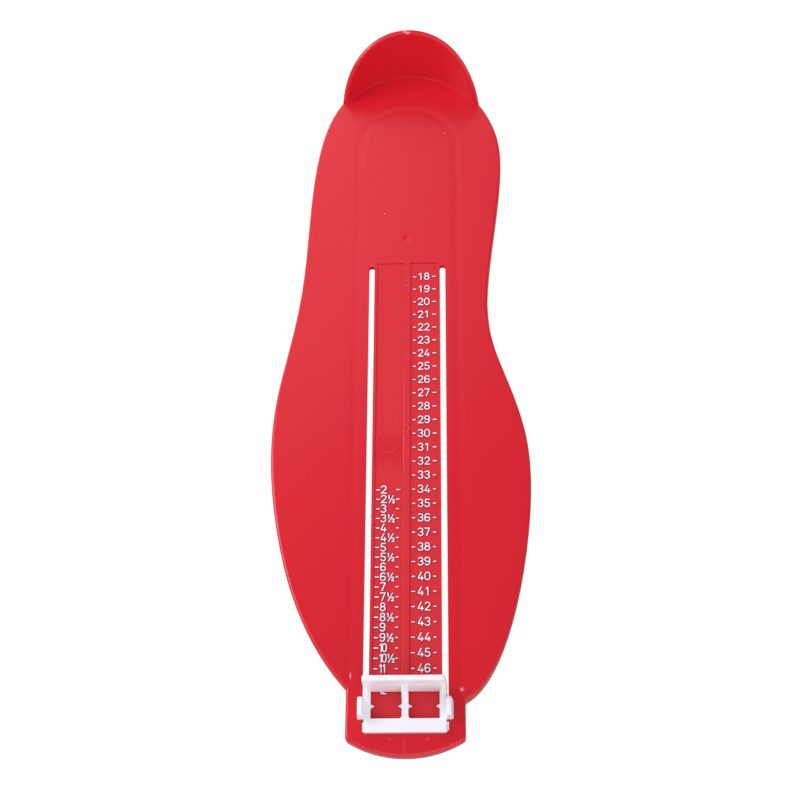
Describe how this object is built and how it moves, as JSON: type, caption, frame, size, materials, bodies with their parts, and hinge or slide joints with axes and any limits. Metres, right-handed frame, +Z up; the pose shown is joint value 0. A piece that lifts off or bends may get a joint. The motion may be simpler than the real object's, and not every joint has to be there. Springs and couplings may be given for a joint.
{
  "type": "foot measuring device",
  "caption": "Moulded foot-shaped measuring board with a heel cup, printed size scales and a sliding toe stop with pointer windows and finger ears.",
  "frame": {"origin": "centre of the plate's bounding rectangle, on the surface that the skirt rests on", "axes": "+Y along the board towards the heel cup, +Z up out of the plate, +X to the right with the toes towards the viewer"},
  "size_m": [0.115, 0.3404, 0.0381],
  "materials": {
    "red_plastic": "satin gloss, moulded",
    "white_plastic": "satin gloss, moulded"
  },
  "bodies": {
    "board": {"foot_plate": "red_plastic"},
    "slider": {"toe_slider": "white_plastic"}
  },
  "joints": [
    {"name": "toe_slide", "type": "slide", "parent": "board", "child": "slider", "axis": [0, 1, 0], "range_m": [0, 0.2027]}
  ]
}
